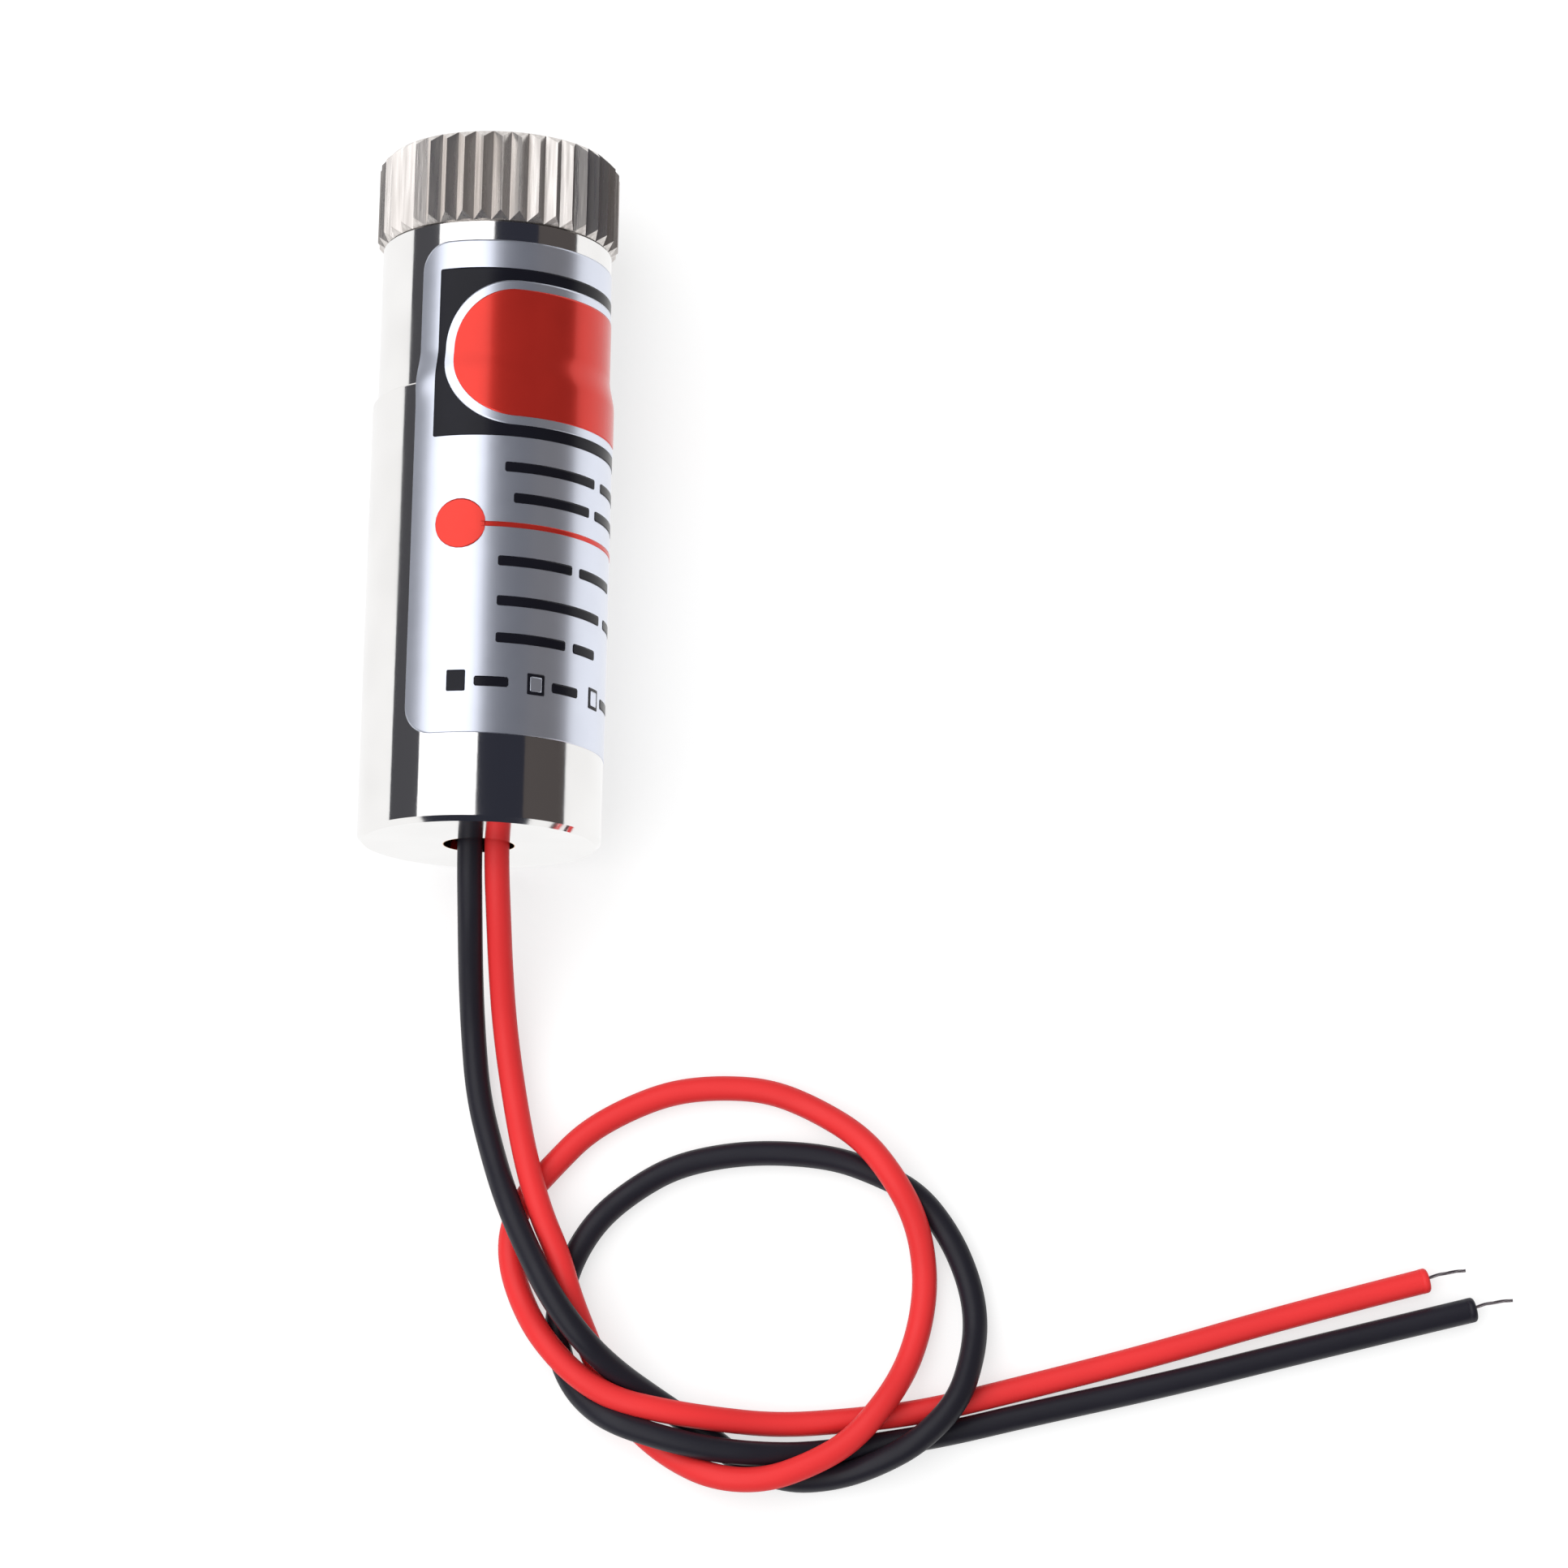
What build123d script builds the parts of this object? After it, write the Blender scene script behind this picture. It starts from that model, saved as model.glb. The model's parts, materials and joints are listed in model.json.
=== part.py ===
from build123d import *
import math
import os

# Laser diode module: a plated two-part barrel with a knurled focus ring in front and two
# leads at the tail. It lies on its side, on two crests of the ring and on the tail's rim.
# Pieces on the barrel are drawn upright, with the ring's front face at zero, the tail
# towards +Z and +Y on the barrel's upper side, and are then laid down in the part's frame.

# Whole barrel
part_length = 35.0
sleeve_radius = 6.0
sleeve_wall = 0.8
step_height = 0.25
step_place = 12.8
tail_edge = 0.25
tail_wall = 1.0
lead_hole_radius = 1.75
step_edge = 0.1
plug_length = 3.5
nose_wall = 0.6
cut_overrun = 1.0

# Focus ring
ring_proud = 0.06
ring_length = 4.6
ring_chamfer = 0.4
tooth_count = 40
tooth_depth = 0.42
shroud_depth = 1.2
shroud_wall = 0.34
shroud_clearance = 0.1
flange_gap = 0.12
spigot_length = 4.2
thread_clearance = 0.06
ring_gap = 0.2
spigot_bore_radius = 2.6
mouth_radius = 4.3
mouth_depth = 0.9

# Lens and its retainer
lens_radius = 3.2
lens_edge = 1.2
lens_crown = 0.7
lens_seat_place = 3.9
retainer_thickness = 0.8
retainer_bore_radius = 2.5
retainer_slot_width = 0.7
retainer_slot_depth = 0.4

# Spring that takes up the play of the thread
washer_thickness = 0.3
washer_bore_radius = 3.1
washer_clearance = 0.25
spring_clearance = 0.65
spring_wire_radius = 0.2
spring_turns = 2.5
spring_length = 2.0

# Laser diode and its seat
holder_length = 3.2
header_radius = 2.8
header_thickness = 1.2
cap_radius = 1.8
cap_length = 2.3
cap_wall = 0.2
cap_clearance = 0.15
cap_window_radius = 0.8
window_radius = 1.3
window_thickness = 0.25
chip_width = 1.0
chip_height = 0.9
chip_length = 1.2
lead_pin_radius = 0.22
lead_circle_radius = 1.0
lead_length = 5.0
short_lead_length = 2.6
clamp_thickness = 0.8
clamp_bore_radius = 2.2

# Driver board and what is soldered on it
board_top_drop = 0.8
board_thickness = 0.8
board_length = 15.8
board_lead_lap = 1.4
board_side_clearance = 0.08
chip_size = (5.0, 4.0, 1.5)
chip_place = 6.4
chip_leg_size = (0.4, 1.0, 0.2)
chip_leg_count = 4
chip_leg_pitch = 1.0
capacitor_size = (3.2, 1.6, 1.7)
capacitor_place = 11.2
resistor_size = (0.8, 1.6, 0.5)
resistor_rows = (3.2, 13.4)
resistor_spread = 2.4
solder_radius = 0.75
solder_height = 1.1

# Label: a thin film wrapped round the barrel, over the step, farther down on the right side
label_thickness = 0.08
label_start = 5.7
label_end = 30.7
label_corner = 1.25
label_left_angle = 41.0
label_right_angle = 131.0
label_slope = 0.35

# Leads
wire_radius = 0.62
black_wire_offset = -0.45
red_wire_offset = 0.87
wire_start = 32.6
wire_straight_end = 35.4
strand_count = 3
strand_radius = 0.04
strand_pitch = 0.05
strand_length = 2.1

# Bores, the lens's curve and places along the barrel, from the sizes above
sleeve_bore_radius = sleeve_radius - sleeve_wall
neck_radius = sleeve_radius - step_height
ring_radius = sleeve_radius + ring_proud
shroud_radius = ring_radius - tooth_depth - shroud_wall
nose_radius = shroud_radius - shroud_clearance
neck_bore_radius = nose_radius - nose_wall
spring_radius = neck_bore_radius - spring_clearance - spring_wire_radius
lens_sphere_radius = (lens_radius ** 2 + lens_crown ** 2) / (2 * lens_crown)
lens_sag = lens_sphere_radius - math.sqrt(lens_sphere_radius ** 2 - retainer_bore_radius ** 2)
retainer_end = lens_seat_place - lens_edge - lens_crown + lens_sag
shroud_place = ring_length - shroud_depth
flange_place = ring_length + flange_gap
neck_start = shroud_place + ring_gap
spigot_radius = neck_bore_radius - thread_clearance
spigot_end = shroud_place + spigot_length
washer_start = spigot_end + ring_gap
spring_start = washer_start + washer_thickness
holder_start = spring_start + spring_length
holder_end = holder_start + holder_length
header_start = holder_end - header_thickness
cap_start = header_start - cap_length
board_start = holder_end + lead_length - board_lead_lap
board_end = board_start + board_length

# The way the barrel lies: two crests of the ring and the tail's rim touch the surface
crest_reach = ring_radius * math.cos(math.pi / tooth_count)
ring_contact = ring_length - ring_chamfer
tail_contact = part_length - tail_edge
lean = math.atan((crest_reach - sleeve_radius) / (tail_contact - ring_contact))
axis_height = crest_reach * math.cos(lean) + ring_contact * math.sin(lean)
front_reach = (crest_reach - ring_chamfer) * math.sin(lean)
tail_reach = part_length * math.cos(lean) + (sleeve_radius - tail_edge) * math.sin(lean)
rest_place = Pos(0, (tail_reach - front_reach) / 2, axis_height) * Rot(90 + math.degrees(lean), 0, 0)

# Routes of the two leads on the surface, from beyond the tail to the bare ends
red_route = [
    (0.9, -20.7, 4.9), (1.0, -23.3, 3.2), (1.2, -25.9, 1.8), (1.7, -29.1, 1.1), (2.5, -32.3, 2.0),
    (3.4, -35.0, 2.0), (4.3, -37.2, 2.0), (4.9, -39.2, 2.0), (5.8, -41.3, 0.9), (6.7, -43.7, 0.65),
    (8.2, -45.6, 0.65), (10.0, -47.1, 0.8), (12.1, -48.2, 1.9), (14.6, -48.4, 2.1), (16.9, -47.4, 2.1),
    (18.7, -46.1, 2.0), (20.3, -44.3, 2.0), (21.5, -42.3, 1.1), (22.4, -40.0, 0.65), (22.5, -37.6, 0.65),
    (21.9, -35.1, 1.4), (20.8, -32.9, 2.1), (19.2, -30.9, 1.7), (16.7, -29.2, 0.65), (14.4, -28.4, 0.65),
    (11.9, -28.3, 0.65), (9.5, -28.6, 0.65), (7.3, -29.5, 0.65), (5.4, -30.8, 0.65), (3.8, -32.4, 0.65),
    (2.4, -34.1, 0.65), (1.8, -35.9, 0.65), (1.9, -37.7, 0.65), (2.5, -39.6, 1.0), (3.5, -41.3, 2.0),
    (5.1, -43.1, 2.1), (7.2, -44.3, 2.1), (9.6, -44.7, 2.1), (12.0, -44.9, 1.6), (15.2, -45.2, 0.65),
    (18.7, -44.9, 0.65), (22.4, -44.4, 0.65), (27.0, -43.2, 0.65), (33.6, -41.5, 0.65), (40.4, -39.3, 0.65),
    (47.0, -37.5, 0.65),
]
black_route = [
    (-0.4, -20.7, 4.9), (-0.4, -23.3, 3.1), (-0.3, -25.9, 1.6), (0.0, -29.1, 0.7), (0.8, -32.0, 1.0),
    (1.7, -34.6, 2.1), (2.8, -37.0, 2.5), (4.0, -39.3, 3.2), (5.6, -41.4, 3.1), (7.2, -42.8, 1.9),
    (9.1, -44.1, 0.65), (11.1, -45.8, 0.65), (13.1, -47.7, 0.65), (15.6, -48.6, 0.65), (18.2, -48.3, 0.65),
    (20.3, -47.4, 1.4), (22.3, -46.0, 2.0), (24.1, -44.0, 2.1), (24.9, -41.9, 1.4), (25.2, -39.8, 0.65),
    (24.8, -37.7, 0.65), (23.8, -35.4, 0.65), (22.1, -33.4, 0.65), (19.9, -32.4, 0.65), (17.7, -31.7, 0.65),
    (14.8, -31.5, 0.65), (12.2, -31.7, 0.65), (9.8, -32.2, 0.65), (7.8, -33.4, 0.65), (6.1, -35.0, 0.65),
    (4.9, -37.0, 0.65), (4.2, -39.0, 0.65), (3.9, -40.8, 0.65), (4.3, -42.6, 0.65), (5.3, -44.2, 1.1),
    (6.9, -45.4, 1.9), (9.4, -46.2, 2.15), (11.9, -46.7, 2.0), (14.2, -46.8, 1.7), (16.8, -46.7, 0.8),
    (19.9, -46.1, 0.65), (23.3, -45.5, 0.65), (27.6, -44.4, 0.65), (34.4, -42.7, 0.65), (41.5, -40.9, 0.65),
    (49.3, -38.9, 0.65),
]
arc_share = 0.45


def turned(outline):
    """One solid of revolution about the barrel's axis, from (radius, place) corners."""
    wire = Polyline(*[(radius, 0, place) for radius, place in outline], close=True)
    return revolve(make_face(wire), Axis.Z, 360)


def tube(outer, inner, start, end):
    return turned([(inner, start), (outer, start), (outer, end), (inner, end)])


def rod(radius, start, end, x=0, y=0):
    return Pos(x, y, start) * Cylinder(radius, end - start, align=(Align.CENTER, Align.CENTER, Align.MIN))


def block(size, x, y, z):
    """A box whose underside sits at y and which is centred on x and z."""
    width, length, height = size
    return Pos(x, y, z) * Box(width, height, length, align=(Align.CENTER, Align.MIN, Align.CENTER))


def knurled_blank():
    """V teeth along the ring, cut back at 45 degrees at both ends."""
    root_radius = ring_radius - tooth_depth
    corners = []
    for tooth in range(tooth_count):
        crest = (tooth + 0.5) * 360 / tooth_count
        root = crest + 180 / tooth_count
        for radius, angle in ((ring_radius, crest), (root_radius, root)):
            turn = math.radians(angle - 90)
            corners.append((radius * math.cos(turn), radius * math.sin(turn)))
    teeth = extrude(make_face(Polyline(*corners, close=True)), ring_length)
    ends = turned([
        (0, 0), (ring_radius - ring_chamfer, 0), (ring_radius, ring_chamfer),
        (ring_radius, ring_length - ring_chamfer), (ring_radius - ring_chamfer, ring_length),
        (0, ring_length),
    ])
    return teeth & ends


def focus_ring():
    """Knurled head and threaded spigot in one piece, bored for the lens."""
    spigot = rod(spigot_radius, shroud_place, spigot_end)
    shroud = rod(shroud_radius, shroud_place, ring_length + cut_overrun)
    bore = turned([
        (0, -cut_overrun), (mouth_radius, -cut_overrun), (mouth_radius, 0), (lens_radius, mouth_depth),
        (lens_radius, lens_seat_place), (spigot_bore_radius, lens_seat_place),
        (spigot_bore_radius, spigot_end + cut_overrun), (0, spigot_end + cut_overrun),
    ])
    return knurled_blank() - shroud + spigot - bore


def crown(radius, height, edge=0):
    """A round cap of that height over a straight edge, its base at zero and its top to +Z."""
    sphere_radius = (radius ** 2 + height ** 2) / (2 * height)
    half_turn = math.atan2(radius, sphere_radius - height) / 2
    middle = (sphere_radius * math.sin(half_turn), 0,
              edge + height - sphere_radius * (1 - math.cos(half_turn)))
    lines = [ThreePointArc((radius, 0, edge), middle, (0, 0, edge + height))]
    corners = [(0, 0, edge + height), (0, 0, 0), (radius, 0, 0), (radius, 0, edge)]
    lines += [Line(a, b) for a, b in zip(corners, corners[1:]) if a != b]
    return revolve(make_face(lines), Axis.Z, 360)


def lens():
    """Plano-convex glass lens, its crown to the front."""
    return Pos(0, 0, lens_seat_place) * Rot(180, 0, 0) * crown(lens_radius, lens_crown, lens_edge)


def lens_retainer():
    """Slotted ring whose inner edge bears on the lens's crown."""
    start = retainer_end - retainer_thickness
    ring = tube(lens_radius, retainer_bore_radius, start, retainer_end)
    slot = Pos(0, 0, start) * Box(2 * lens_radius + cut_overrun, retainer_slot_width,
                                  2 * retainer_slot_depth)
    return ring - slot


def spring_washer():
    return tube(neck_bore_radius - washer_clearance, washer_bore_radius, washer_start, spring_start)


def focus_spring():
    """Short compression spring between the washer and the diode's holder."""
    height = spring_length - 2 * spring_wire_radius
    coil = Helix(height / spring_turns, height, spring_radius)
    section = Plane(origin=coil @ 0, z_dir=coil % 0) * Circle(spring_wire_radius)
    return Pos(0, 0, spring_start + spring_wire_radius) * sweep(section, path=coil, is_frenet=True)


def front_housing():
    """Neck of the barrel, with a nose inside the ring and a plug inside the rear sleeve."""
    return turned([
        (neck_bore_radius, neck_start), (nose_radius, neck_start), (nose_radius, flange_place),
        (neck_radius, flange_place), (neck_radius, step_place),
        (sleeve_bore_radius, step_place), (sleeve_bore_radius, step_place + plug_length),
        (neck_bore_radius, step_place + plug_length),
    ])


def rear_housing():
    """Rear sleeve with a fine edge at the step and a flat, bevelled tail, bored for the leads."""
    tail_floor = part_length - tail_wall
    return turned([
        (sleeve_bore_radius, step_place), (sleeve_radius - step_edge, step_place),
        (sleeve_radius, step_place + step_edge), (sleeve_radius, part_length - tail_edge),
        (sleeve_radius - tail_edge, part_length), (lead_hole_radius, part_length),
        (lead_hole_radius, tail_floor), (sleeve_bore_radius, tail_floor),
    ])


def diode_holder():
    """Brass slug that seats the diode and carries its heat to the barrel."""
    hole_radius = cap_radius + cap_clearance
    return turned([
        (hole_radius, holder_start), (neck_bore_radius, holder_start), (neck_bore_radius, holder_end),
        (header_radius, holder_end), (header_radius, header_start), (hole_radius, header_start),
    ])


def clamp_ring():
    ring = tube(neck_bore_radius, clamp_bore_radius, holder_end, holder_end + clamp_thickness)
    slot = Pos(0, 0, holder_end + clamp_thickness) * Box(
        2 * neck_bore_radius + cut_overrun, retainer_slot_width, 2 * retainer_slot_depth)
    return ring - slot


def diode_header():
    return rod(header_radius, header_start, holder_end)


def diode_cap():
    """Can over the chip, open at the back and with a round window in front."""
    inner = cap_radius - cap_wall
    return turned([
        (cap_window_radius, cap_start), (cap_radius, cap_start), (cap_radius, header_start),
        (inner, header_start), (inner, cap_start + cap_wall), (cap_window_radius, cap_start + cap_wall),
    ])


def diode_window():
    start = cap_start + cap_wall
    return rod(window_radius, start, start + window_thickness)


def diode_chip():
    """Chip on its heat block, standing on the header inside the can."""
    size = (chip_width, chip_length, chip_height)
    return block(size, 0, -chip_height, header_start - chip_length / 2)


def lead_places():
    """Two pins rest on the board and the third, shorter, stands above them."""
    low = lead_pin_radius - board_top_drop
    side = math.sqrt(lead_circle_radius ** 2 - low ** 2)
    return [(side, low, lead_length), (-side, low, lead_length), (0, lead_circle_radius, short_lead_length)]


def diode_leads():
    pins = [rod(lead_pin_radius, holder_end, holder_end + length, x, y) for x, y, length in lead_places()]
    return Compound(children=pins)


def driver_board():
    """Circuit board along the barrel, held by its edges in the sleeve's bore."""
    bottom = board_top_drop + board_thickness
    reach = sleeve_bore_radius - board_side_clearance
    half_width = math.sqrt(reach ** 2 - bottom ** 2)
    size = (2 * half_width, board_length, board_thickness)
    return block(size, 0, -bottom, (board_start + board_end) / 2)


def driver_chip():
    """Driver circuit in a small outline case with a row of legs at each side."""
    width, length, height = chip_size
    leg_length, leg_reach, leg_thickness = chip_leg_size
    centre = board_start + chip_place
    body = block((width - 2 * leg_reach, length, height), 0, -board_top_drop, centre)
    for side in (-1, 1):
        for leg in range(chip_leg_count):
            place = centre + (leg - (chip_leg_count - 1) / 2) * chip_leg_pitch
            x = side * (width - leg_reach) / 2
            body += block((leg_reach, leg_length, leg_thickness), x, -board_top_drop, place)
    return body


def capacitor():
    return block((capacitor_size[1], capacitor_size[0], capacitor_size[2]), 0, -board_top_drop,
                 board_start + capacitor_place)


def resistors():
    chips = []
    for row in resistor_rows:
        for side in (-1, 1):
            chips.append(block(resistor_size, side * resistor_spread, -board_top_drop, board_start + row))
    return Compound(children=chips)


def solder_joints():
    """Domed solder on the board around the inner end of each lead."""
    joints = []
    for offset in (red_wire_offset, black_wire_offset):
        place = Pos(offset, -board_top_drop, wire_start - solder_radius) * Rot(-90, 0, 0)
        joints.append(place * crown(solder_radius, solder_height))
    return Compound(children=joints)


def corner_waste(angle, side, place, inward):
    """What is trimmed off outside the rounded corner of the film, at one edge of its wrap."""
    turn = side * math.degrees(label_corner / (sleeve_radius + label_thickness)) - angle
    across = Align.MIN if side > 0 else Align.MAX
    along = Align.MAX if inward > 0 else Align.MIN
    size = label_corner + cut_overrun
    square = Box(size, sleeve_radius, size, align=(across, Align.CENTER, along))
    round_part = Rot(90, 0, 0) * Cylinder(label_corner, 2 * sleeve_radius)
    return Rot(0, 0, turn) * Pos(0, sleeve_radius, place + inward * label_corner) * (square - round_part)


def label():
    """Film that follows the neck, the step and the sleeve."""
    foot = step_place - label_slope
    inner = [(neck_radius, label_start), (neck_radius, foot), (sleeve_radius, step_place),
             (sleeve_radius, label_end)]
    outer = [(radius + label_thickness, place) for radius, place in reversed(inner)]
    outline = Polyline(*[(radius, 0, place) for radius, place in inner + outer], close=True)
    film = revolve(make_face(outline), Axis.Z, label_left_angle + label_right_angle)
    film = Rot(0, 0, 90 - label_right_angle) * film
    for angle, side in ((-label_left_angle, -1), (label_right_angle, 1)):
        for place, inward in ((label_start, 1), (label_end, -1)):
            film -= corner_waste(angle, side, place, inward)
    return film


def lead_path(offset, route):
    """Straight runs joined by arcs, each as large as the two runs beside it allow."""
    inside = [rest_place * Pos(offset, 0, place) for place in (wire_start, wire_straight_end)]
    points = [place.position for place in inside] + [Vector(*point) for point in route]
    radii = []
    for before, here, after in zip(points, points[1:], points[2:]):
        first, second = here - before, after - here
        turn = math.radians(first.get_angle(second))
        radii.append(arc_share * min(first.length, second.length) / math.tan(turn / 2))
    print("tightest bend of a lead, mm:", round(min(radii), 2), " widest:", round(max(radii), 1))
    return FilletPolyline(*points, radius=radii)


def lead(offset, route):
    path = lead_path(offset, route)
    section = Plane(origin=path @ 0, z_dir=path % 0) * Circle(wire_radius)
    solid = sweep(section, path=path)
    expected = math.pi * wire_radius ** 2 * path.length
    print("lead length, mm:", round(path.length, 1), " volume share:", round(solid.volume / expected, 4))
    return solid


def strands(route):
    """Fine bare strands in line with the end of a lead, spaced round its centre."""
    end, before = Vector(*route[-1]), Vector(*route[-2])
    tip = Plane(origin=end, z_dir=end - before)
    wires = []
    for strand in range(strand_count):
        turn = 2 * math.pi * strand / strand_count
        x, y = strand_pitch * math.cos(turn), strand_pitch * math.sin(turn)
        wires.append(tip * rod(strand_radius, 0, strand_length, x, y))
    return Compound(children=wires)


def build():
    red = lead(red_wire_offset, red_route)
    black = lead(black_wire_offset, black_route)
    on_barrel = {
        "focus_ring": focus_ring(),
        "lens": lens(),
        "lens_retainer": lens_retainer(),
        "spring_washer": spring_washer(),
        "focus_spring": focus_spring(),
        "front_housing": front_housing(),
        "rear_housing": rear_housing(),
        "diode_holder": diode_holder(),
        "clamp_ring": clamp_ring(),
        "diode_header": diode_header(),
        "diode_cap": diode_cap(),
        "diode_window": diode_window(),
        "diode_chip": diode_chip(),
        "diode_leads": diode_leads(),
        "driver_board": driver_board(),
        "driver_chip": driver_chip(),
        "capacitor": capacitor(),
        "resistors": resistors(),
        "label": label(),
    }
    nodes = {name: rest_place * shape for name, shape in on_barrel.items()}
    joints = rest_place * solder_joints()
    nodes["solder_joints"] = joints - red - black
    nodes["red_wire"] = red
    nodes["black_wire"] = black
    nodes["red_wire_strands"] = strands(red_route)
    nodes["black_wire_strands"] = strands(black_route)
    return nodes


os.makedirs("parts", exist_ok=True)
for name, shape in build().items():
    export_step(shape, f"parts/{name}.step")
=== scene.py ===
import bpy
import json
import math
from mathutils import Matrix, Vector

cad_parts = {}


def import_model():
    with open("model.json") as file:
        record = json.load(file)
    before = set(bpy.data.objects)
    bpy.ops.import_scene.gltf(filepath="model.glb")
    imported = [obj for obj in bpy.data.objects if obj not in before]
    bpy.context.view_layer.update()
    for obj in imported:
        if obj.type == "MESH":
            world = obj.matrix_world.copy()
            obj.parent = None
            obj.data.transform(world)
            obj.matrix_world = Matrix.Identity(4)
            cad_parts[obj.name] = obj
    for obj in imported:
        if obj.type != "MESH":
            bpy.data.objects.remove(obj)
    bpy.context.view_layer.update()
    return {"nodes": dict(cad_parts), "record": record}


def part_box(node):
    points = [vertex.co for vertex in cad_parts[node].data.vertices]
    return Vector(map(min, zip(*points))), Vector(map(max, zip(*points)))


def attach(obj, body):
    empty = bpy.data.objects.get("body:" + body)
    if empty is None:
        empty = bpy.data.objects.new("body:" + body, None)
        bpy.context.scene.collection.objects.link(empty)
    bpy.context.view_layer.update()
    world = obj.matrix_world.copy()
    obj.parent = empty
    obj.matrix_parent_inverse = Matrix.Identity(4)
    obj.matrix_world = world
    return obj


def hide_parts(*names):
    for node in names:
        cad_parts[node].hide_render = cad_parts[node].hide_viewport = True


# Laser diode module: looks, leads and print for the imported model, in metres, with +Z up. The
# barrel lies along Y with its knurled ring towards +Y. Angles round the barrel are in degrees
# from its top towards +X, and places along it are in millimetres back from its front.

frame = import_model()

mm = 0.001

# Barrel
grip = frame["record"]["mounts"][0]
sleeve_radius = grip["dims"]["r_mm"] * mm
front_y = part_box("focus_ring")[1][1]
step_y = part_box("rear_housing")[1][1]
tail_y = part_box("rear_housing")[0][1]
step_height = 0.25 * mm
neck_radius = sleeve_radius - step_height
# Hole at the tail where the leads come out, painted brown: painted shade with a painted reflection
# of brass, not the metal's own colour
hole_radius = 1.78 * mm
hole_painted_shade_brown = (0.72, 0.40, 0.16)

# Label film, which climbs from the neck onto the sleeve and lifts a little at its edge there
film_thickness = 0.03 * mm
film_angles = (-35, 131)
film_places = (5.7, 30.7)
film_corner = 1.5 * mm
film_rise = 1.7 * mm
film_lift = 0.05 * mm
film_lift_place = 13.1
film_lift_length = 0.6 * mm
film_lift_angle = 7

# Grid of a patch of film or ink, and the share of a full quarter round that its corners take
patch_step = 0.1 * mm
patch_least_columns = 8
patch_least_rows = 4
patch_corner_share = 0.98

# Plain fields of ink: name, angles, places, finish, corner and layer
ink_height = 0.016 * mm
ink_depth = 0.01 * mm
thin_corner = 0.05 * mm
bar_corner = 0.1 * mm
print_fields = (
    ("print_panel", (-24.6, 122), (7.13, 15.8), "print_black", bar_corner, 1),
    ("print_panel_outline", (-20.4, 118), (7.75, 15.2), "print_silver", 3.6 * mm, 2),
    ("print_panel_red", (-16, 114), (8.2, 14.75), "print_red", 3.2 * mm, 3),
    ("print_dot", (-21.8, 2.2), (19.0, 21.5), "print_red", 1.25 * mm, 1),
    ("print_line", (0, 118), (20.15, 20.4), "print_red", thin_corner, 1),
)

# Rows of short plain bars: name, middle place and each bar's angles
row_height = 0.5
print_rows = (
    ("print_row_first", 17.35, ((10.5, 62), (68, 104))),
    ("print_row_second", 18.9, ((15, 58), (63, 98))),
    ("print_row_third", 22.1, ((8.5, 47), (52, 84))),
    ("print_row_fourth", 24.1, ((8.5, 70), (76, 96))),
    ("print_row_fifth", 25.95, ((8.5, 44), (49, 66))),
)

# Row of small squares, the first one filled, with a bar after each
square_count = 4
square_places = (27.6, 28.65)
square_start = -13.7
square_angle = 8.8
square_pitch = 37.8
square_line = 0.16
square_bar_place = 28.15
square_bar_angles = (4, 20)

# Leads: the routes of their solid tubes in millimetres, a few points moved after the photograph
lead_radius = 0.62 * mm
red_route = [
    (0.87, -15.1, 6.0), (0.87, -17.9, 6.0), (1.0, -20.7, 4.9), (1.1, -23.3, 3.2),
    (1.3, -25.9, 1.8), (1.8, -29.1, 1.1), (2.5, -32.3, 2.0), (3.3, -35.0, 2.0),
    (4.3, -37.2, 2.0), (4.9, -39.2, 2.0), (5.8, -41.3, 0.9), (6.8, -43.6, 0.65),
    (8.3, -45.5, 0.65), (10.1, -46.9, 0.8), (12.2, -47.9, 1.9), (14.6, -48.0, 2.1),
    (16.8, -47.2, 2.1), (18.7, -46.1, 2.0), (20.3, -44.3, 2.0), (21.5, -42.3, 1.1),
    (22.2, -40.0, 0.65), (22.4, -37.6, 0.65), (21.9, -35.1, 1.4), (20.7, -33.0, 2.1),
    (19.1, -31.0, 1.7), (16.6, -29.4, 0.65), (14.4, -28.6, 0.65), (11.9, -28.5, 0.65),
    (9.6, -28.8, 0.65), (7.4, -29.7, 0.65), (5.4, -30.9, 0.65), (3.9, -32.5, 0.65),
    (2.5, -34.1, 0.65), (1.8, -35.9, 0.65), (1.9, -37.7, 0.65), (2.6, -39.6, 1.0),
    (3.6, -41.3, 2.0), (5.2, -43.0, 2.1), (7.2, -44.2, 2.1), (9.6, -44.7, 2.1),
    (12.0, -45.0, 1.6), (15.2, -45.2, 0.65), (18.7, -44.9, 0.65), (22.4, -44.4, 0.65),
    (27.0, -43.2, 0.65), (33.6, -41.4, 0.65), (40.4, -39.3, 0.65), (47.0, -37.5, 0.65),
]
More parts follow.
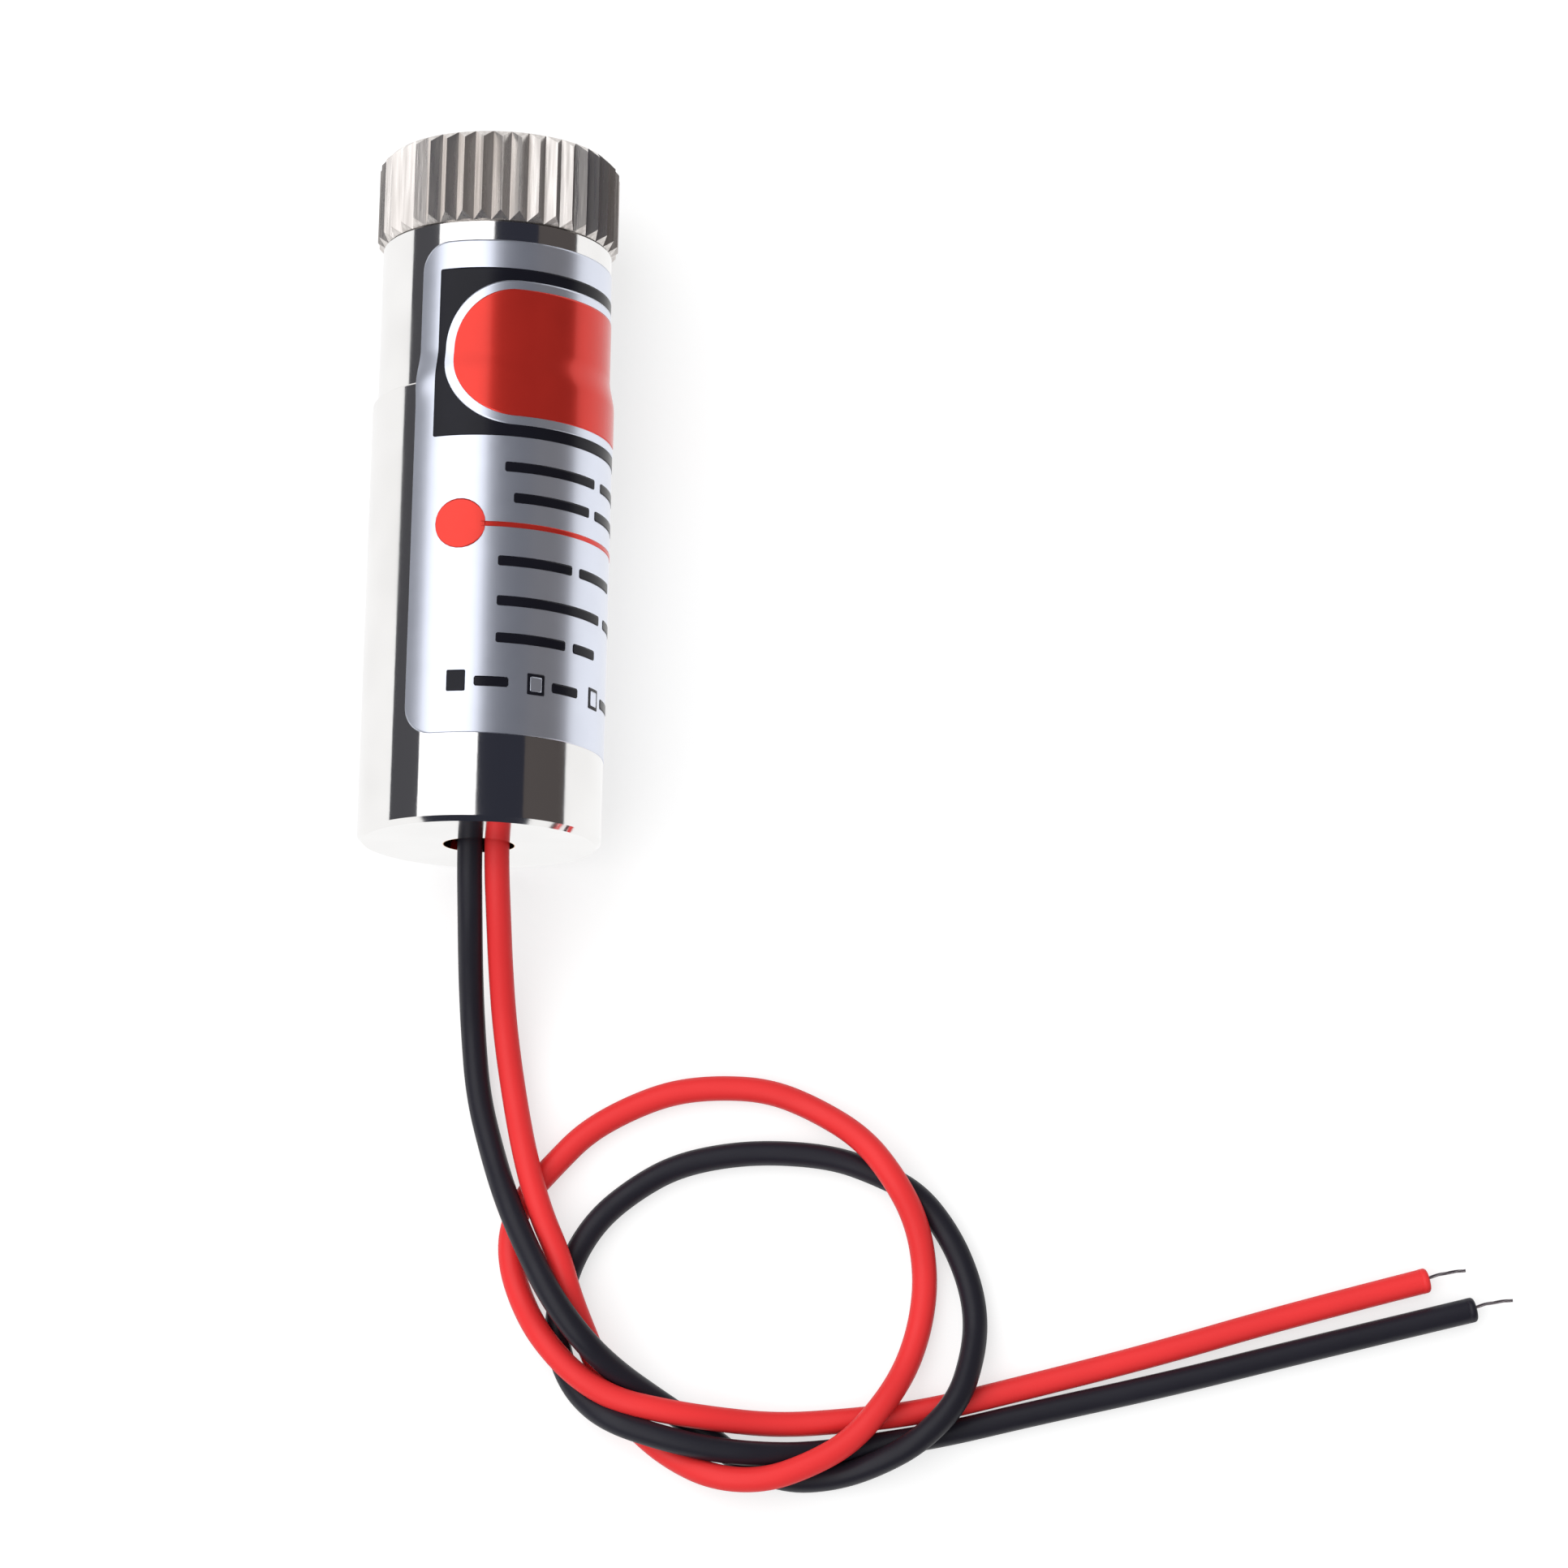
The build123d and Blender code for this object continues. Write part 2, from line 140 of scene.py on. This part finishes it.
black_route = [
    (-0.45, -15.1, 6.0), (-0.45, -17.9, 6.0), (-0.4, -20.7, 4.9), (-0.4, -23.3, 3.1),
    (-0.3, -25.9, 1.6), (0.0, -29.1, 0.7), (0.8, -32.0, 1.0), (1.7, -34.6, 2.1),
    (2.8, -37.0, 2.5), (4.0, -39.3, 3.2), (5.6, -41.4, 3.1), (7.2, -42.8, 1.9),
    (9.1, -44.0, 0.65), (11.3, -45.4, 0.65), (13.4, -47.0, 0.65), (15.7, -47.9, 0.65),
    (18.1, -47.7, 0.65), (20.2, -47.0, 1.4), (22.2, -45.9, 2.0), (24.0, -44.0, 2.1),
    (24.7, -41.8, 1.4), (24.9, -39.8, 0.65), (24.5, -37.8, 0.65), (23.5, -35.6, 0.65),
    (21.9, -33.6, 0.65), (19.8, -32.6, 0.65), (17.7, -31.9, 0.65), (14.8, -31.7, 0.65),
    (12.3, -31.9, 0.65), (9.9, -32.5, 0.65), (8.0, -33.6, 0.65), (6.2, -35.1, 0.65),
    (5.0, -37.0, 0.65), (4.4, -39.0, 0.65), (4.2, -40.8, 0.65), (4.6, -42.5, 0.65),
    (5.5, -44.0, 1.1), (7.0, -45.2, 1.9), (9.5, -46.0, 2.15), (11.9, -46.5, 2.0),
    (14.2, -46.7, 1.7), (16.8, -46.6, 0.8), (19.9, -46.1, 0.65), (23.3, -45.5, 0.65),
    (27.6, -44.4, 0.65), (34.4, -42.8, 0.65), (41.5, -40.9, 0.65), (49.3, -38.9, 0.65),
]

# Smoothness of the curves along the leads and strands, and round them
curve_order = 3
curve_steps = 8
curve_sides = 5

# Bare strands at the leads' ends
strand_count = 3
strand_radius = 0.045 * mm
strand_length = 2.09 * mm
strand_pitch = 0.045 * mm
strand_overlap = 0.6 * mm
strand_bow = 0.12 * mm
strand_turns = 1.0
strand_steps = 10

# Rounded end of the leads' insulation
cut_end_round = 0.2 * mm
cut_end_steps = 8
cut_end_sides = 48

# Camera, at the photograph's angle
camera_place = (16.19 * mm, -65.80 * mm, 240.60 * mm)
camera_turn = (0.21675, 0.0012, 0.0184)
camera_lens = 111.8
camera_sensor = 36.0
camera_clip = (0.01, 20.0)

# Floor: matt mid grey, which a glow lifts to white for the camera
floor_size = 3.0
floor_drop = 0.02 * mm
floor_grey = (0.5, 0.5, 0.5)
floor_rough = 0.9
floor_lift = 0.62

# World: a soft fill for matt surfaces, and a dim room that gloss and glass show
white = (1, 1, 1)
fill_strength = 0.55
room_color = (0.66, 0.70, 1.0)
room_strength = 0.042

# Softbox over the barrel, and dim cards beside it: name, angles, colour and strength
softbox_place = (-0.188, 0, 0.349)
softbox_size = (0.9, 0.42)
softbox_power = 1.7
card_distance = 0.5
card_length = 1.6
cards = (
    ("warm_card", (44, 88), (1.0, 0.88, 0.86), 0.085),
    ("cool_card", (-88, -58), (0.90, 0.90, 1.0), 0.08),
)


def axis_height(y):
    """Height of the barrel's axis, which leans a little from the ring down to the tail."""
    return grip["pos_m"][2] + (y - grip["pos_m"][1]) * grip["axis"][2] / grip["axis"][1]


# Materials

# How far a surface's gloss and tone wander, and how wide the noise values are that they follow
noise_middle = (0.35, 0.65)
noise_wide = (0.2, 0.8)
metal_rough_share = (0.8, 1.25)
plain_tone_coarse = 5
coat_rough = 0.08


def material(name):
    """A new material, with its node tree and its main shader."""
    mat = bpy.data.materials.new(name)
    mat.use_nodes = True
    tree = mat.node_tree
    shader = tree.nodes["Principled BSDF"]
    return mat, tree, shader


def place_nodes(tree, stretch=(1, 1, 1)):
    """Object coordinates, stretched along an axis where the finish has a direction."""
    coords = tree.nodes.new("ShaderNodeTexCoord")
    mapping = tree.nodes.new("ShaderNodeMapping")
    mapping.inputs["Scale"].default_value = stretch
    tree.links.new(coords.outputs["Object"], mapping.inputs["Vector"])
    return mapping.outputs["Vector"]


def noise(tree, vector, scale):
    """A noise value, whose scale is in cells a metre."""
    node = tree.nodes.new("ShaderNodeTexNoise")
    node.inputs["Scale"].default_value = scale
    tree.links.new(vector, node.inputs["Vector"])
    return node.outputs["Fac"]


def spread(tree, value, low, high, noise_range=noise_middle):
    """Maps a noise value onto the range from low to high."""
    node = tree.nodes.new("ShaderNodeMapRange")
    node.inputs["From Min"].default_value = noise_range[0]
    node.inputs["From Max"].default_value = noise_range[1]
    node.inputs["To Min"].default_value = low
    node.inputs["To Max"].default_value = high
    tree.links.new(value, node.inputs["Value"])
    return node.outputs["Result"]


def bump(tree, shader, height, distance):
    """Lets a height value ripple the surface by a distance."""
    node = tree.nodes.new("ShaderNodeBump")
    node.inputs["Distance"].default_value = distance
    tree.links.new(height, node.inputs["Height"])
    tree.links.new(node.outputs["Normal"], shader.inputs["Normal"])


def two_tone(tree, value, first, second):
    """A colour that wanders between two close tones."""
    node = tree.nodes.new("ShaderNodeMix")
    node.data_type = "RGBA"
    node.inputs["A"].default_value = (*first, 1)
    node.inputs["B"].default_value = (*second, 1)
    tree.links.new(value, node.inputs["Factor"])
    return node.outputs["Result"]


def metal(name, first, second, rough, stretch=(1, 1, 1), grain=900.0, depth=0.002 * mm,
          metallic=1.0, coarse=8):
    """Plated or turned metal with slightly uneven gloss and a fine grain."""
    mat, tree, shader = material(name)
    shader.inputs["Metallic"].default_value = metallic
    vector = place_nodes(tree, stretch)
    fine = noise(tree, vector, grain)
    broad = noise(tree, vector, grain / coarse)
    low, high = (rough * share for share in metal_rough_share)
    tone = two_tone(tree, spread(tree, broad, 0, 1), first, second)
    tree.links.new(spread(tree, broad, low, high), shader.inputs["Roughness"])
    tree.links.new(tone, shader.inputs["Base Color"])
    bump(tree, shader, fine, depth)
    return mat


def plain(name, color, rough, grain=600.0, depth=0.004 * mm, coat=0.0, shade=0.8, metallic=0.0,
          uneven=0.15, specular=0.5):
    """Plastic, film, board or ceramic: one colour with slight unevenness."""
    mat, tree, shader = material(name)
    shader.inputs["Metallic"].default_value = metallic
    shader.inputs["Specular IOR Level"].default_value = specular
    shader.inputs["Coat Weight"].default_value = coat
    shader.inputs["Coat Roughness"].default_value = coat_rough
    vector = place_nodes(tree)
    broad = noise(tree, vector, grain / plain_tone_coarse)
    fine = noise(tree, vector, grain)
    dark = tuple(part * shade for part in color)
    tone = two_tone(tree, spread(tree, broad, 0, 1), color, dark)
    gloss = spread(tree, fine, rough * (1 - uneven), rough * (1 + uneven), noise_wide)
    tree.links.new(tone, shader.inputs["Base Color"])
    tree.links.new(gloss, shader.inputs["Roughness"])
    bump(tree, shader, broad, depth)
    return mat


def paint_hole_shade(mat, axis_place, radius, color):
    """Paints a metal brown in a hole along the barrel: painted shade with a painted reflection of
    brass, not the metal's own colour.
    """
    tree = mat.node_tree
    shader = tree.nodes["Principled BSDF"]
    plated = shader.inputs["Base Color"].links[0].from_socket
    offset = tree.nodes.new("ShaderNodeVectorMath")
    offset.operation = "SUBTRACT"
    offset.inputs[1].default_value = axis_place
    tree.links.new(place_nodes(tree, (1, 0, 1)), offset.inputs[0])
    reach = tree.nodes.new("ShaderNodeVectorMath")
    reach.operation = "LENGTH"
    tree.links.new(offset.outputs["Vector"], reach.inputs[0])
    inside = tree.nodes.new("ShaderNodeMath")
    inside.operation = "LESS_THAN"
    inside.inputs[1].default_value = radius
    tree.links.new(reach.outputs["Value"], inside.inputs[0])
    # Brown inside the radius: painted shade with a painted reflection of brass
    mix = tree.nodes.new("ShaderNodeMix")
    mix.data_type = "RGBA"
    mix.inputs["B"].default_value = (*color, 1)
    tree.links.new(inside.outputs["Value"], mix.inputs["Factor"])
    tree.links.new(plated, mix.inputs["A"])
    tree.links.new(mix.outputs["Result"], shader.inputs["Base Color"])
    return mat


def glass(name, color):
    """Clear, faintly tinted glass."""
    mat, tree, shader = material(name)
    shader.inputs["Transmission Weight"].default_value = 1.0
    shader.inputs["IOR"].default_value = 1.5
    shader.inputs["Roughness"].default_value = 0.02
    shader.inputs["Base Color"].default_value = (*color, 1)
    return mat


def dress(node, mat):
    """Gives a CAD node its finish."""
    mesh = frame["nodes"][node].data
    mesh.materials.clear()
    mesh.materials.append(mat)


nickel = {"first": (0.92, 0.91, 0.90), "second": (0.87, 0.86, 0.85), "rough": 0.09,
          "grain": 1500.0, "depth": 0.0012 * mm}
film_silver = {"color": (0.83, 0.87, 0.99), "rough": 0.30, "coat": 0.4, "shade": 0.97,
               "metallic": 0.85}
film_grain = {"grain": 2500.0, "depth": 0.0006 * mm, "uneven": 0.04}
wire_grain = {"grain": 700.0, "depth": 0.01 * mm}
finishes = {
    "neck_nickel": metal("neck_nickel", **nickel),
    # The sleeve's tail hole is painted brown: painted shade with a painted reflection of brass
    "sleeve_nickel": paint_hole_shade(metal("sleeve_nickel", **nickel), (0, 0, axis_height(tail_y)),
                               hole_radius, hole_painted_shade_brown),
    "ring_nickel": metal("ring_nickel", (0.80, 0.76, 0.73), (0.66, 0.62, 0.59), 0.30,
                         stretch=(1, 0.05, 1), grain=9000.0, depth=0.006 * mm, metallic=0.9,
                         coarse=1.8),
    "spring_steel": metal("spring_steel", (0.50, 0.50, 0.52), (0.44, 0.44, 0.46), 0.25),
    "turned_brass": metal("turned_brass", (0.78, 0.58, 0.26), (0.70, 0.50, 0.22), 0.28),
    "gold_flash": metal("gold_flash", (0.85, 0.66, 0.32), (0.80, 0.60, 0.28), 0.20),
    "solder": metal("solder", (0.66, 0.66, 0.68), (0.58, 0.58, 0.60), 0.30, depth=0.02 * mm),
    "tinned_strand": metal("tinned_strand", (0.50, 0.44, 0.46), (0.40, 0.35, 0.37), 0.35,
                           grain=3000.0),
    "lens_glass": glass("lens_glass", (0.86, 0.93, 0.96)),
    "chip_black": plain("chip_black", (0.02, 0.02, 0.022), 0.45),
    "board_green": plain("board_green", (0.02, 0.13, 0.05), 0.35),
    "capacitor_tan": plain("capacitor_tan", (0.70, 0.42, 0.10), 0.35),
    "resistor_black": plain("resistor_black", (0.03, 0.03, 0.03), 0.30),
    "label_film": plain("label_film", **film_silver, **film_grain),
    "print_black": plain("print_black", (0.010, 0.010, 0.016), 0.25, specular=0.2, **film_grain),
    "print_red": plain("print_red", (0.82, 0.045, 0.03), 0.25, coat=0.15, shade=0.95,
                       metallic=0.6, **film_grain),
    "print_silver": plain("print_silver", **film_silver, **film_grain),
    "wire_red": plain("wire_red", (0.92, 0.038, 0.040), 0.45, shade=0.92, specular=0.25,
                      **wire_grain),
    "wire_black": plain("wire_black", (0.019, 0.018, 0.028), 0.45, shade=0.85, specular=0.3,
                        **wire_grain),
}

for node, finish in {
    "focus_ring": "ring_nickel", "lens_retainer": "ring_nickel",
    "front_housing": "neck_nickel", "rear_housing": "sleeve_nickel",
    "lens": "lens_glass", "diode_window": "lens_glass",
    "spring_washer": "spring_steel", "focus_spring": "spring_steel",
    "diode_holder": "turned_brass", "clamp_ring": "turned_brass",
    "diode_header": "gold_flash", "diode_cap": "gold_flash", "diode_leads": "gold_flash",
    "diode_chip": "chip_black", "driver_chip": "chip_black", "driver_board": "board_green",
    "capacitor": "capacitor_tan", "resistors": "resistor_black", "solder_joints": "solder",
}.items():
    dress(node, finishes[finish])


# Label film and the plain fields of print on it

def film_radius(turn, y):
    """Radius of the film's underside at an angle in radians, on its climb and its lifted edge."""
    share = min(max((step_y + film_rise - y) / film_rise, 0), 1)
    climb = step_height * share * share * (3 - 2 * share)
    along = (y - front_y + film_lift_place * mm) / film_lift_length
    round_barrel = (math.degrees(turn) - film_angles[0]) / film_lift_angle
    return neck_radius + climb + film_lift * math.exp(-along ** 2 - round_barrel ** 2)


def film_patch(name, angles, places, finish, corner, bottom, top):
    """A thin closed patch with rounded corners between two angles and two places. Bottom and top
    are the heights of its sides over the film's underside."""
    start, end = (math.radians(angle) for angle in angles)
    near, far = (front_y - place * mm for place in places)
    half_width = (end - start) * sleeve_radius / 2
    columns = max(round(half_width / patch_step), patch_least_columns)
    rows = max(round((near - far) / patch_step), patch_least_rows)
    vertices = []
    for height in (top, bottom):
        for column in range(columns + 1):
            across = -math.cos(math.pi * column / columns)
            turn = (start + end) / 2 + across * (end - start) / 2
            edge = max(abs(across) * half_width - (half_width - corner), 0)
            trim = patch_corner_share * (corner - math.sqrt(max(corner ** 2 - edge ** 2, 0)))
            for row in range(rows + 1):
                y = near - trim - (near - far - 2 * trim) * row / rows
                radius = film_radius(turn, y) + height
                height_up = axis_height(y) + radius * math.cos(turn)
                vertices.append((radius * math.sin(turn), y, height_up))

    def corner_index(side, column, row):
        return (side * (columns + 1) + column) * (rows + 1) + row

    faces = []
    for column in range(columns):
        for row in range(rows):
            ring = [(column, row), (column, row + 1), (column + 1, row + 1), (column + 1, row)]
            faces.append([corner_index(0, *place) for place in ring])
            faces.append([corner_index(1, *place) for place in reversed(ring)])
    rim = [(0, row) for row in range(rows)]
    rim += [(column, rows) for column in range(columns)]
    rim += [(columns, row) for row in range(rows, 0, -1)]
    rim += [(column, 0) for column in range(columns, 0, -1)]
    for here, after in zip(rim, rim[1:] + rim[:1]):
        faces.append([corner_index(0, *after), corner_index(0, *here), corner_index(1, *here),
                      corner_index(1, *after)])
    mesh = bpy.data.meshes.new(name)
    mesh.from_pydata(vertices, [], faces)
    mesh.materials.append(finishes[finish])
    for face in mesh.polygons[:2 * columns * rows]:
        face.use_smooth = True
    patch = bpy.data.objects.new(name, mesh)
    bpy.context.scene.collection.objects.link(patch)
    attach(patch, "barrel")
    return patch


def print_field(name, angles, places, finish, corner=thin_corner, layer=1):
    """A field of ink on the film, on its first layer or over other ink."""
    top = film_thickness + layer * ink_height
    return film_patch(name, angles, places, finish, corner, film_thickness - ink_depth, top)


def print_row(name, place, bars):
    """A row of short plain bars between pairs of angles."""
    places = (place - row_height / 2, place + row_height / 2)
    for number, angles in enumerate(bars):
        print_field(f"{name}_{number}", angles, places, "print_black", bar_corner)


def print_square(number, start, end):
    """A small square, filled where it is the first and open elsewhere, with a bar after it."""
    name = f"print_square_{number}"
    print_field(name, (start, end), square_places, "print_black")
    if number:
        inset = math.degrees(square_line * mm / sleeve_radius)
        places = (square_places[0] + square_line, square_places[1] - square_line)
        print_field(name + "_centre", (start + inset, end - inset), places, "print_silver", layer=2)
    bar = tuple(end + angle for angle in square_bar_angles)
    print_row(name + "_bar", square_bar_place, (bar,))


film = film_patch("label_film", film_angles, film_places, "label_film", film_corner, 0,
                  film_thickness)
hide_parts("label")

for field in print_fields:
    print_field(*field)
for row in print_rows:
    print_row(*row)
for number in range(square_count):
    start = square_start + square_pitch * number
    print_square(number, start, start + square_angle)


# Leads and their strands

def curve_object(name, routes, radius, finish):
    """Round cord along smooth curves that start and end at their routes' ends."""
    curve = bpy.data.curves.new(name, "CURVE")
    curve.dimensions = "3D"
    curve.bevel_depth = radius
    curve.bevel_resolution = curve_sides
    curve.resolution_u = curve_steps
    curve.use_fill_caps = True
    for route in routes:
        spline = curve.splines.new("NURBS")
        spline.points.add(len(route) - 1)
        for point, place in zip(spline.points, route):
            point.co = (*place, 1)
        spline.order_u = curve_order
        spline.use_endpoint_u = True
    curve.materials.append(finishes[finish])
    lead = bpy.data.objects.new(name, curve)
    bpy.context.scene.collection.objects.link(lead)
    return lead


def lead_end(route):
    """The end of a route, with the directions along it, to its side and up from it."""
    end, before = Vector(route[-1]), Vector(route[-2])
    along = (end - before).normalized()
    side = along.cross(Vector((0, 0, 1))).normalized()
    return end, along, side, side.cross(along)


def strand_bundle(name, route, node):
    """Fine strands twisted together and bowed a little to one side."""
    end, along, side, rise = lead_end(route)
    routes = []
    for strand in range(strand_count):
        points = []
        for step in range(strand_steps + 1):
            share = step / strand_steps
            reach = share * (strand_length + strand_overlap) - strand_overlap
            middle = end + along * reach - side * strand_bow * math.sin(math.pi * share)
            turn = 2 * math.pi * (strand / strand_count + share * strand_turns)
            outward = side * math.cos(turn) + rise * math.sin(turn)
            points.append(middle + outward * strand_pitch)
        routes.append(points)
    bundle = curve_object(name, routes, strand_radius, "tinned_strand")
    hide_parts(node)
    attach(bundle, "barrel")
    return bundle


def cut_end(name, route, finish):
    """The softly rounded end of the insulation, turned round the lead's last run."""
    end, along, side, rise = lead_end(route)
    profile = [(lead_radius, -cut_end_round)]
    for step in range(cut_end_steps + 1):
        turn = math.pi / 2 * step / cut_end_steps
        radius = lead_radius - cut_end_round * (1 - math.cos(turn))
        profile.append((radius, cut_end_round * math.sin(turn)))
    vertices = []
    for radius, reach in profile:
        for number in range(cut_end_sides):
            turn = 2 * math.pi * number / cut_end_sides
            outward = side * math.cos(turn) + rise * math.sin(turn)
            vertices.append(end + along * reach + outward * radius)
    faces = []
    for ring in range(len(profile) - 1):
        for number in range(cut_end_sides):
            after = (number + 1) % cut_end_sides
            first, second = ring * cut_end_sides, (ring + 1) * cut_end_sides
            faces.append((first + number, first + after, second + after, second + number))
    faces.append(tuple(reversed(range(cut_end_sides))))
    last = (len(profile) - 1) * cut_end_sides
    faces.append(tuple(range(last, last + cut_end_sides)))
    mesh = bpy.data.meshes.new(name)
    mesh.from_pydata(vertices, [], faces)
    mesh.materials.append(finishes[finish])
    for face in mesh.polygons[:-2]:
        face.use_smooth = True
    tip = bpy.data.objects.new(name, mesh)
    bpy.context.scene.collection.objects.link(tip)
    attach(tip, "barrel")
    return tip


def add_lead(color, route):
    """One lead with its bare strands and its rounded end, which stay with the barrel."""
    places = [tuple(number * mm for number in place) for place in route]
    lead = curve_object(color + "_lead", [places], lead_radius, "wire_" + color)
    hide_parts(color + "_wire")
    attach(lead, "barrel")
    bundle = strand_bundle(color + "_lead_strands", places, color + "_wire_strands")
    tip = cut_end(color + "_lead_end", places, "wire_" + color)


add_lead("red", red_route)
add_lead("black", black_route)


# Floor, world, lamps and camera

def mirrored(tree, path):
    """One for a ray that a surface mirrors or lets through, else nought."""
    either = tree.nodes.new("ShaderNodeMath")
    either.operation = "MAXIMUM"
    tree.links.new(path.outputs["Is Glossy Ray"], either.inputs[0])
    tree.links.new(path.outputs["Is Transmission Ray"], either.inputs[1])
    return either.outputs["Value"]


def glow(tree, color, strength):
    """An emission shader of one colour and strength."""
    node = tree.nodes.new("ShaderNodeEmission")
    node.inputs["Color"].default_value = (*color, 1)
    node.inputs["Strength"].default_value = strength
    return node.outputs["Emission"]


def mixed(tree, factor, first, second):
    """The first shader where the factor is nought, and the second one where it is one."""
    node = tree.nodes.new("ShaderNodeMixShader")
    tree.links.new(factor, node.inputs["Fac"])
    tree.links.new(first, node.inputs[1])
    tree.links.new(second, node.inputs[2])
    return node.outputs["Shader"]


def stage_plane(name, corners, mat):
    """One flat face of the set, which isn't part of the object."""
    mesh = bpy.data.meshes.new(name)
    mesh.from_pydata(corners, [], [(0, 1, 2, 3)])
    mesh.materials.append(mat)
    plane = bpy.data.objects.new(name, mesh)
    bpy.context.scene.collection.objects.link(plane)
    return plane


def floor():
    """A plain pale floor, white to the camera and in the object's reflections."""
    mat, tree, shader = material("white_floor")
    shader.inputs["Base Color"].default_value = (*floor_grey, 1)
    shader.inputs["Roughness"].default_value = floor_rough
    shader.inputs["Specular IOR Level"].default_value = 0.0
    lifted = tree.nodes.new("ShaderNodeAddShader")
    tree.links.new(shader.outputs["BSDF"], lifted.inputs[0])
    tree.links.new(glow(tree, white, floor_lift), lifted.inputs[1])
    path = tree.nodes.new("ShaderNodeLightPath")
    seen = mixed(tree, path.outputs["Is Camera Ray"], shader.outputs["BSDF"],
                 lifted.outputs["Shader"])
    surface = mixed(tree, mirrored(tree, path), seen, glow(tree, white, 1.0))
    tree.links.new(surface, tree.nodes["Material Output"].inputs["Surface"])
    half = floor_size / 2
    corners = [(-half, -half, -floor_drop), (half, -half, -floor_drop),
               (half, half, -floor_drop), (-half, half, -floor_drop)]
    stage_plane("floor", corners, mat)


def world():
    """White to the camera, a soft fill for matt surfaces, and a dim room for gloss and glass."""
    new = bpy.data.worlds.new("studio")
    bpy.context.scene.world = new
    new.use_nodes = True
    tree = new.node_tree
    tree.nodes.clear()

    def background(color, strength):
        node = tree.nodes.new("ShaderNodeBackground")
        node.inputs["Color"].default_value = (*color, 1)
        node.inputs["Strength"].default_value = strength
        return node.outputs["Background"]

    path = tree.nodes.new("ShaderNodeLightPath")
    lit = mixed(tree, mirrored(tree, path), background(white, fill_strength),
                background(room_color, room_strength))
    seen = mixed(tree, path.outputs["Is Camera Ray"], lit, background(white, 1.0))
    output = tree.nodes.new("ShaderNodeOutputWorld")
    tree.links.new(seen, output.inputs["Surface"])


def card(name, angles, color, strength):
    """A dim upright card beside the barrel, between two angles, which only gloss shows."""
    low, high = (math.radians(angle) for angle in angles)
    near, far = -card_length / 2, card_length / 2
    corners = [(card_distance * math.sin(turn), y, card_distance * math.cos(turn)) for turn, y in
               ((low, near), (high, near), (high, far), (low, far))]
    mat, tree, shader = material(name)
    tree.nodes.remove(shader)
    surface = glow(tree, color, strength)
    tree.links.new(surface, tree.nodes["Material Output"].inputs["Surface"])
    plane = stage_plane(name, corners, mat)
    plane.visible_camera = False
    plane.visible_diffuse = False
    plane.visible_shadow = False
    plane.visible_transmission = False


def lamp(name, place, size, power):
    """A soft rectangular lamp that faces the origin, under the barrel's middle."""
    light = bpy.data.lights.new(name, "AREA")
    light.shape = "RECTANGLE"
    light.size, light.size_y = size
    light.energy = power
    holder = bpy.data.objects.new(name, light)
    holder.location = place
    holder.rotation_euler = (-Vector(place)).to_track_quat("-Z", "Y").to_euler()
    bpy.context.scene.collection.objects.link(holder)


def camera():
    """The camera, at the photograph's angle."""
    data = bpy.data.cameras.new("camera")
    data.lens = camera_lens
    data.sensor_width = camera_sensor
    data.clip_start, data.clip_end = camera_clip
    eye = bpy.data.objects.new("camera", data)
    eye.location = camera_place
    eye.rotation_euler = camera_turn
    bpy.context.scene.collection.objects.link(eye)
    bpy.context.scene.camera = eye


floor()
world()
for name, angles, color, strength in cards:
    card(name, angles, color, strength)
lamp("softbox", softbox_place, softbox_size, softbox_power)
camera()
bpy.context.scene.view_settings.view_transform = "Standard"
